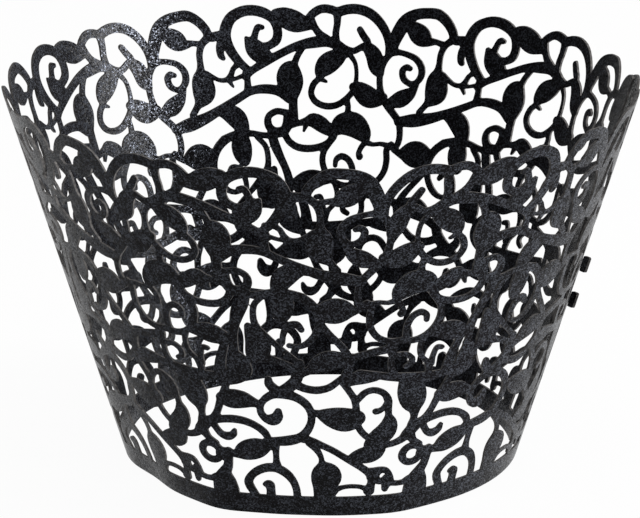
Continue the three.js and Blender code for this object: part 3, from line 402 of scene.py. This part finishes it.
def blank_depth():
    """Depth inside the whole sheet on the grid of angles and slant heights."""
    cells = (np.arange(ALL_COLUMNS) + FIRST_COLUMN + COLUMNS // 2) % COLUMNS
    motif = MOTIF_DEPTH[:, cells]
    angle = column_angle[None, :]
    up = row_up[:, None]
    radius = BASE_RADIUS + up * LEAN_SINE
    top = ROWS - 1 - np.argmax(MOTIF_DEPTH[::-1] > 0, axis=0)
    last_in = MOTIF_DEPTH[top, np.arange(COLUMNS)]
    first_out = MOTIF_DEPTH[np.minimum(top + 1, ROWS - 1), np.arange(COLUMNS)]
    top_up = (top - BASE_ROW + last_in / (last_in - first_out)) * ROW_STEP
    scallop = top_up[cells][None, :] - up
    strip = np.maximum(STRIP_ANGLE - angle, angle - TURN) * radius
    depth = np.maximum(np.maximum(motif, BASE_BAND - up), np.minimum(strip, scallop))
    depth = np.minimum(depth, np.minimum(angle, SHEET_END - angle) * radius)
    for height in TAB_HEIGHTS:
        tab_up = up - height / LEAN_COSINE
        neck = box_depth((angle - STRIP_ANGLE / 4 + TAB_ANGLE / 2) * radius, tab_up,
                         (TAB_ANGLE / 2 + STRIP_ANGLE / 4) * radius, TAB_NECK_HEIGHT / 2)
        head = box_depth((angle + TAB_ANGLE - TAB_HEAD_ANGLE / 2) * radius, tab_up,
                         TAB_HEAD_ANGLE / 2 * radius, TAB_HEIGHT / 2)
        slit = box_depth((angle - SLIT_MIDDLE) * radius, tab_up, SLIT_WIDTH / 2,
                         TAB_HEIGHT / 2 + SLIT_CLEARANCE)
        depth = np.minimum(np.maximum(depth, np.maximum(neck, head)), -slit)
    return np.minimum(depth, up)


DEPTH = blank_depth()
print("grid of", DEPTH.shape, "points")

# %% [markdown]
# ## Cutting the outlines
# Marching squares walks round every grid square that holds both card and air, and finds where the
# depth passes through zero on its sides. Chained up, those points are the laser's path. It is then
# thinned to the points that it needs: straight runs lose most of theirs, tight curls keep them all.

# %% Marching squares
CROSSING_END = 0.02


def cut_paths(depth):
    """Closed loops of grid points, with the card on the left."""
    inside = depth > 0
    mixed = inside[:-1, :-1].astype(int) + inside[1:, :-1] + inside[:-1, 1:] + inside[1:, 1:]
    following = {}
    places = {}
    for row, column in zip(*np.nonzero((mixed > 0) & (mixed < 4))):
        corners = [(row, column), (row, column + 1), (row + 1, column + 1), (row + 1, column)]
        leaving = []
        entering = []
        for side in range(4):
            a = corners[side]
            b = corners[(side + 1) % 4]
            if inside[a] == inside[b]:
                continue
            name = (min(a, b), max(a, b))
            if name not in places:
                p, q = name
                share = depth[p] / (depth[p] - depth[q])
                share = min(max(share, CROSSING_END), 1 - CROSSING_END)
                places[name] = (p[1] + (q[1] - p[1]) * share, p[0] + (q[0] - p[0]) * share)
            (leaving if inside[a] else entering).append((side, name))
        for side, name in leaving:
            following[name] = min(entering, key=lambda e: (e[0] - side) % 4)[1]
    loops = []
    while following:
        start = name = next(iter(following))
        loop = []
        while name in following:
            loop.append(places[name])
            name = following.pop(name)
        loops.append(np.array(loop))
    return loops


def laid_flat(loop):
    """Grid points to the flat blank in mm; the outside then runs counterclockwise."""
    rho = APEX + (loop[:, 1] - BASE_ROW) * ROW_STEP
    phi = (loop[:, 0] + FIRST_COLUMN) * REPEAT_ANGLE / COLUMNS * LEAN_SINE
    return np.column_stack([rho * np.cos(phi), rho * np.sin(phi)])[::-1]


# %% Thin the outlines
OUTLINE_ERROR = 0.022
LONGEST_EDGE = 0.9
SMALLEST_HOLE = 0.12
SAME_PLACE = 1e-9


def thinned(loop):
    """The points that keep the outline within OUTLINE_ERROR of itself."""
    far = int(np.argmax(np.hypot(*(loop - loop[0]).T)))
    closed = np.vstack([loop, loop[:1]])
    keep = {0, far}
    spans = [(0, far), (far, len(loop))]
    while spans:
        first, last = spans.pop()
        a = closed[first]
        b = closed[last]
        length = math.hypot(*(b - a))
        split = (first + last) // 2 if length > LONGEST_EDGE else first
        if last - first > 1:
            between = closed[first + 1:last] - a
            if length > SAME_PLACE:
                away = np.abs((b - a)[0] * between[:, 1] - (b - a)[1] * between[:, 0]) / length
            else:
                away = np.hypot(*between.T)
            worst = int(np.argmax(away))
            if away[worst] > OUTLINE_ERROR:
                split = first + 1 + worst
        if split not in (first, last):
            keep.add(split)
            spans += [(first, split), (split, last)]
    return loop[sorted(keep)]


def signed_area(loop):
    """Area in square mm, negative where the loop runs clockwise."""
    x, y = loop.T
    return 0.5 * float(np.sum(x * np.roll(y, -1) - np.roll(x, -1) * y))


paths = sorted((laid_flat(loop) for loop in cut_paths(DEPTH)), key=signed_area)
OUTSIDE = thinned(paths[-1])
HOLES = [thinned(loop) for loop in paths[:-1] if signed_area(loop) < -SMALLEST_HOLE]
print(len(HOLES), "holes,", len(OUTSIDE) + sum(map(len, HOLES)), "points on the cut")

# %% [markdown]
# ## Triangles for a sheet that bends
# A flat sheet can be one big face, but this one is about to be rolled, and a face bends only where it
# has vertices. A Delaunay triangulation with extra points spread inside the card gives small, even
# triangles, and it keeps every cut edge because the cut edges are handed to it as constraints.

# %% Triangulate the blank
FILL_STEP = 0.9
FILL_MARGIN = 0.3
MERGE_DISTANCE = 1e-6


def fill_points():
    """Points inside the card, on the grid of the depth field, well clear of the cut edges."""
    row_skip = round(FILL_STEP / ROW_STEP)
    column_skip = round(FILL_STEP / (MIDDLE_RADIUS * REPEAT_ANGLE / COLUMNS))
    rows, columns = np.nonzero(DEPTH[::row_skip, ::column_skip] > FILL_MARGIN)
    grid = np.column_stack([columns * column_skip, rows * row_skip]).astype(float)
    return laid_flat(grid)


def outline_edges(loops):
    """The edges of closed loops whose points are numbered one loop after the other."""
    edges = []
    start = 0
    for loop in loops:
        edges += [(start + i, start + (i + 1) % len(loop)) for i in range(len(loop))]
        start += len(loop)
    return edges


CUT_LOOPS = [OUTSIDE] + HOLES
CUT_EDGES = outline_edges(CUT_LOOPS)
flat_points = np.vstack(CUT_LOOPS + [fill_points()])
cdt_points, _, cdt_faces, origin_points, _, _ = delaunay_2d_cdt(
    [Vector(p) for p in flat_points], CUT_EDGES, [], 0, MERGE_DISTANCE)
if len(cdt_points) != len(flat_points):
    raise RuntimeError("the cut outlines cross each other")
print(len(cdt_faces), "triangles before the holes are taken out")

# %% [markdown]
# The triangulation fills the holes too. Each cut edge has card on its left and air on its right, so
# the triangles beside the cut edges are known at once, and a flood fill that never crosses a cut edge
# passes that knowledge on to the rest.

# %% Keep the triangles that are card


def card_triangles(faces, edges):
    """The faces that a walk from the card side of the cut edges can reach."""
    beside = {}
    for number, face in enumerate(faces):
        for a, b in zip(face, face[1:] + face[:1]):
            beside[(a, b)] = number
    cut = set(edges)
    queue = [beside[edge] for edge in edges if edge in beside]
    card = set(queue)
    while queue:
        face = faces[queue.pop()]
        for a, b in zip(face, face[1:] + face[:1]):
            if (a, b) in cut or (b, a) in cut:
                continue
            other = beside.get((b, a))
            if other is not None and other not in card:
                card.add(other)
                queue.append(other)
    return [faces[number] for number in sorted(card)]


original = [sources[0] for sources in origin_points]
ccw_faces = [[original[v] for v in face] for face in cdt_faces]
TRIANGLES = card_triangles(ccw_faces, CUT_EDGES)
print(len(TRIANGLES), "triangles of card")

# %% [markdown]
# ## Rolling the sheet
# Rolling keeps every distance along the sheet. A point's distance from the apex gives its height, and
# its angle on the blank, divided by the sine of the lean, is its angle round the cone. Card that was
# curled by hand is never a perfect cone: the photograph shows a flat stretch and two soft corners on
# the lower edge, and they fade out towards the mouth. The mouth is a little out of round too. Each dent
# is its place round the cone and its spread in degrees, and how far it stands out in mm.

# %% Roll it
BASE_DENTS = ((211, 11, -1.0), (242, 8, 0.75), (266, 9, -0.25), (291, 8, 0.45),
              (20, 15, -0.4), (75, 12, 0.4), (120, 14, -0.5), (155, 10, 0.4))
MOUTH_DENTS = ((145, 20, 0.4), (33, 18, 0.7))
BASE_FADE_HEIGHT = 30.0
BASE_FADE_POWER = 1.5
MOUTH_FADE_POWER = 2
TAB_LEAN_END = 1.2
BASE_SNAP = 1e-4
SHARP_ANGLE = math.radians(50)


def hand_curl(angle, z):
    """How far the card bulges from the true cone, in mm."""
    bulge = np.zeros_like(angle)
    low = np.clip(1 - z / BASE_FADE_HEIGHT, 0, 1) ** BASE_FADE_POWER
    high = (z / HEIGHT) ** MOUTH_FADE_POWER
    for dents, share in ((BASE_DENTS, low), (MOUTH_DENTS, high)):
        for place, spread, depth in dents:
            away = (np.degrees(angle) - place + 180) % 360 - 180
            bulge += share * depth * np.exp(-(away / spread) ** 2)
    return bulge


def layer_offset(angle):
    """The sheet winds outwards by one layer a turn, and the tabs lean out through their slits."""
    wound = (angle / TURN - 0.5) * LAYER_STEP
    lean = (LAYER_STEP + TAB_PROUD) * np.minimum(-angle / TAB_ANGLE, TAB_LEAN_END)
    return np.where(angle < 0, wound + lean, wound)


def rolled(points, side):
    """Flat points to the cone's outer side (+1) or inner side (-1), in metres."""
    up = np.hypot(*points.T) - APEX
    angle = np.arctan2(points[:, 1], points[:, 0]) / LEAN_SINE
    z = np.where(np.abs(up) < BASE_SNAP, 0, up * LEAN_COSINE)
    radius = BASE_RADIUS + z * FLARE / HEIGHT + layer_offset(angle) + hand_curl(angle, z)
    radius += side * CARD / 2 / LEAN_COSINE
    return np.column_stack([radius * np.cos(angle), radius * np.sin(angle), z]) * MM


def wrapper_mesh():
    """Inner face, outer face and the cut edge between them, as one closed mesh."""
    count = len(flat_points)
    places = np.vstack([rolled(flat_points, -1), rolled(flat_points, 1)])
    inner = [tuple(face) for face in TRIANGLES]
    outer = [tuple(v + count for v in reversed(face)) for face in TRIANGLES]
    walls = [(b, a, a + count, b + count) for a, b in CUT_EDGES]
    mesh = bpy.data.meshes.new("filigree_card")
    mesh.from_pydata(places.tolist(), [], inner + outer + walls)
    mesh.polygons.foreach_set("use_smooth", [True] * len(mesh.polygons))
    slots = [0] * (len(inner) + len(outer)) + [1] * len(walls)
    mesh.polygons.foreach_set("material_index", slots)
    mesh.set_sharp_from_angle(angle=SHARP_ANGLE)
    mesh.validate()
    return mesh


card = bpy.data.objects.new("filigree_card", wrapper_mesh())
bpy.context.scene.collection.objects.link(card)
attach(card, "root")
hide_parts("filigree_wrapper")
print("card mesh:", len(card.data.vertices), "vertices,", len(card.data.polygons), "faces")

# %% [markdown]
# ## Colours and nodes
# Colours are written as sRGB hex values, as a colour picker shows them, and turned to linear once.
# One helper adds a node with its settings and its links.

# %% Helpers for materials


def linear(hex_colour):
    """An sRGB hex colour as linear RGBA."""
    parts = [int(hex_colour[i:i + 2], 16) / 255 for i in (1, 3, 5)]
    return [c / 12.92 if c <= 0.04045 else ((c + 0.055) / 1.055) ** 2.4 for c in parts] + [1.0]


def add_node(material, kind, settings=None, **links):
    """Adds a node. A link is a value or another node's output, and i0 is the input number 0."""
    tree = material.node_tree
    node = tree.nodes.new(kind)
    for name, value in (settings or {}).items():
        setattr(node, name, value)
    for name, value in links.items():
        numbered = name[0] == "i" and name[1:].isdigit()
        socket = node.inputs[int(name[1:]) if numbered else name]
        if isinstance(value, bpy.types.NodeSocket):
            tree.links.new(value, socket)
        else:
            socket.default_value = value
    return node


def new_material(name):
    """An empty node material."""
    material = bpy.data.materials.new(name)
    material.use_nodes = True
    material.node_tree.nodes.clear()
    return material


# %% [markdown]
# ## Black pearlescent card
# Pearlescent card is dyed black paper with a thin clear coat that holds mica flakes. Seen from the
# front it is a soft black with a fine grey grain. Where a lamp glances off it, the flakes that lean
# the right way light up and the card turns silvery. A flake is about 0.1 mm and is drawn at 0.16 mm
# here, so that it shows. Each Voronoi cell is one flake, and its random colour tilts the normal, which
# gives a sparkle that a bump map of the same grain can't: the whole flake leans one way. A soft noise
# of 1.6 mm gathers the bright flakes in loose clouds, as the coating does. The clear coat has the index
# of a common lacquer, 1.45, and its mirror part is low, because the flakes and fibres break it up.

# %% Pearl card
FLAKE = 0.16
MOTTLE = 1.6
MOTTLE_DETAIL = 3.0
FLAKE_TILT = 0.26
FLAKE_METAL = 0.42
FLAKE_FROM = 1.0
FLAKE_FULL = 1.5
CARD_BLACK = "#100f11"
FLAKE_GREY = "#43464d"
CARD_ROUGHNESS = 0.27
COAT_IOR = 1.45
COAT_SPECULAR = 0.06


def pearl_card():
    material = new_material("black_pearlescent_card")
    place = add_node(material, "ShaderNodeTexCoord").outputs["Object"]
    flakes = add_node(material, "ShaderNodeTexVoronoi", Vector=place, Scale=1 / (FLAKE * MM))
    mottle = add_node(material, "ShaderNodeTexNoise", Vector=place, Scale=1 / (MOTTLE * MM),
                      Detail=MOTTLE_DETAIL)
    random = flakes.outputs["Color"]
    lean = add_node(material, "ShaderNodeVectorMath", {"operation": "SUBTRACT"},
                    i0=random, i1=(0.5, 0.5, 0.5))
    tilt = add_node(material, "ShaderNodeVectorMath", {"operation": "SCALE"}, i0=lean.outputs[0],
                    Scale=FLAKE_TILT)
    plain = add_node(material, "ShaderNodeNewGeometry").outputs["Normal"]
    tilted = add_node(material, "ShaderNodeVectorMath", {"operation": "ADD"},
                      i0=plain, i1=tilt.outputs[0])
    facing = add_node(material, "ShaderNodeVectorMath", {"operation": "NORMALIZE"}, i0=tilted.outputs[0])
    grey = add_node(material, "ShaderNodeSeparateColor", Color=random)
    chance = add_node(material, "ShaderNodeMath", {"operation": "ADD"},
                      i0=grey.outputs["Red"], i1=mottle.outputs[0])
    flake = add_node(material, "ShaderNodeMapRange", i0=chance.outputs[0], i1=FLAKE_FROM,
                     i2=FLAKE_FULL, i3=0.0, i4=1.0)
    metal = add_node(material, "ShaderNodeMath", {"operation": "MULTIPLY"},
                     i0=flake.outputs[0], i1=FLAKE_METAL)
    ramp = add_node(material, "ShaderNodeValToRGB", Fac=flake.outputs[0])
    ramp.color_ramp.elements[0].position = 0.0
    ramp.color_ramp.elements[0].color = linear(CARD_BLACK)
    ramp.color_ramp.elements[1].position = 1.0
    ramp.color_ramp.elements[1].color = linear(FLAKE_GREY)
    surface = add_node(material, "ShaderNodeBsdfPrincipled", Normal=facing.outputs[0],
                       Roughness=CARD_ROUGHNESS, Metallic=metal.outputs[0], IOR=COAT_IOR,
                       **{"Base Color": ramp.outputs[0], "Specular IOR Level": COAT_SPECULAR})
    add_node(material, "ShaderNodeOutputMaterial", Surface=surface.outputs[0])
    return material


# %% [markdown]
# ## The cut edge
# A laser leaves the edge of dyed card matt and a little lighter than its face, a warm grey. The grey
# here
# is lighter still, as a painted highlight: the edge is only 0.3 mm wide, and its light tone stands in
# for the light it catches along the top of each hole, which draws the pattern. A noise of about a fibre
# bundle's length, 0.5 mm, breaks up the grey.

# %% Cut edge
FIBRE = 0.5
FIBRE_DETAIL = 2.0
# Both edge greys are lifted above the edge's own tone as a painted highlight; the noise between them is
# random tone.
EDGE_DARK_GREY_PAINTED_HIGHLIGHT = "#2c2a2a"
EDGE_LIGHT_GREY_PAINTED_HIGHLIGHT = "#6a6765"
EDGE_ROUGHNESS = 0.8
EDGE_IOR = 1.5


def edge_with_painted_highlight():
    # The edge's colour is partly its own grey and partly painted highlight.
    material = new_material("laser_cut_edge_painted_highlight")
    place = add_node(material, "ShaderNodeTexCoord").outputs["Object"]
    fibre = add_node(material, "ShaderNodeTexNoise", Vector=place, Scale=1 / (FIBRE * MM),
                     Detail=FIBRE_DETAIL)
    ramp = add_node(material, "ShaderNodeValToRGB", Fac=fibre.outputs[0])
    ramp.color_ramp.elements[0].position = 0.3
    ramp.color_ramp.elements[0].color = linear(EDGE_DARK_GREY_PAINTED_HIGHLIGHT)
    ramp.color_ramp.elements[1].position = 0.7
    ramp.color_ramp.elements[1].color = linear(EDGE_LIGHT_GREY_PAINTED_HIGHLIGHT)
    surface = add_node(material, "ShaderNodeBsdfPrincipled", Roughness=EDGE_ROUGHNESS, IOR=EDGE_IOR,
                       **{"Base Color": ramp.outputs[0]})
    add_node(material, "ShaderNodeOutputMaterial", Surface=surface.outputs[0])
    return material


card.data.materials.append(pearl_card())
card.data.materials.append(edge_with_painted_highlight())

# %% [markdown]
# ## Floor and light
# The photograph has a plain white ground. The camera looks down on nothing but the floor, so the floor
# makes the background: part of its white is its own light, for camera, glossy and transmission rays
# only, and the rest is a diffuse white that still takes the wrapper's shadow.

# %% Floor
FLOOR_GLOW = 0.96
FLOOR_HALF = 3.0
BOARD_WHITE = "#f4f4f4"


def white_floor():
    material = new_material("white_board")
    paint = add_node(material, "ShaderNodeBsdfDiffuse", Color=linear(BOARD_WHITE))
    glow = add_node(material, "ShaderNodeEmission", Color=(1, 1, 1, 1), Strength=1.0)
    rays = add_node(material, "ShaderNodeLightPath").outputs
    seen = add_node(material, "ShaderNodeMath", {"operation": "MAXIMUM"},
                    i0=rays["Is Camera Ray"], i1=rays["Is Glossy Ray"])
    seen = add_node(material, "ShaderNodeMath", {"operation": "MAXIMUM"},
                    i0=seen.outputs[0], i1=rays["Is Transmission Ray"])
    share = add_node(material, "ShaderNodeMath", {"operation": "MULTIPLY"},
                     i0=seen.outputs[0], i1=FLOOR_GLOW)
    surface = add_node(material, "ShaderNodeMixShader", i0=share.outputs[0], i1=paint.outputs[0],
                       i2=glow.outputs[0])
    add_node(material, "ShaderNodeOutputMaterial", Surface=surface.outputs[0])
    return material


FLOOR_CORNERS = [(x * FLOOR_HALF, y * FLOOR_HALF, 0) for x, y in ((-1, -1), (1, -1), (1, 1), (-1, 1))]
floor_mesh = bpy.data.meshes.new("floor")
floor_mesh.from_pydata(FLOOR_CORNERS, [], [(0, 1, 2, 3)])
floor_mesh.materials.append(white_floor())
floor = bpy.data.objects.new("floor", floor_mesh)
bpy.context.scene.collection.objects.link(floor)

# %% [markdown]
# The photograph's key light stands low on the right. It comes in over the right rim and glances off
# the upper left of the inside, the only place where the card turns silver, while the far wall mirrors
# the dark room behind the camera and stays black. A broad lamp overhead lights the board, and the
# board in turn gives the outside its soft grey.

# %% World and lamps
AIM = (0, 0, 0.025)
WORLD_STRENGTH = 0.17


def lamp(name, place, size, power):
    """A round lamp aimed at the wrapper, in metres and watts."""
    data = bpy.data.lights.new(name, "AREA")
    data.shape = "DISK"
    data.size = size
    data.energy = power
    light = bpy.data.objects.new(name, data)
    light.location = place
    light.rotation_euler = (Vector(AIM) - Vector(place)).to_track_quat("-Z", "Y").to_euler()
    bpy.context.scene.collection.objects.link(light)


lamp("key_right", place=(0.80, -0.05, 0.24), size=0.28, power=11.0)
lamp("overhead", place=(-0.05, 0.0, 0.9), size=0.8, power=2.6)

world = bpy.data.worlds.new("white_room")
bpy.context.scene.world = world
world.use_nodes = True
world.node_tree.nodes["Background"].inputs["Color"].default_value = (1, 1, 1, 1)
world.node_tree.nodes["Background"].inputs["Strength"].default_value = WORLD_STRENGTH
bpy.context.scene.view_settings.view_transform = "Standard"

# %% Finish
bpy.context.view_layer.update()
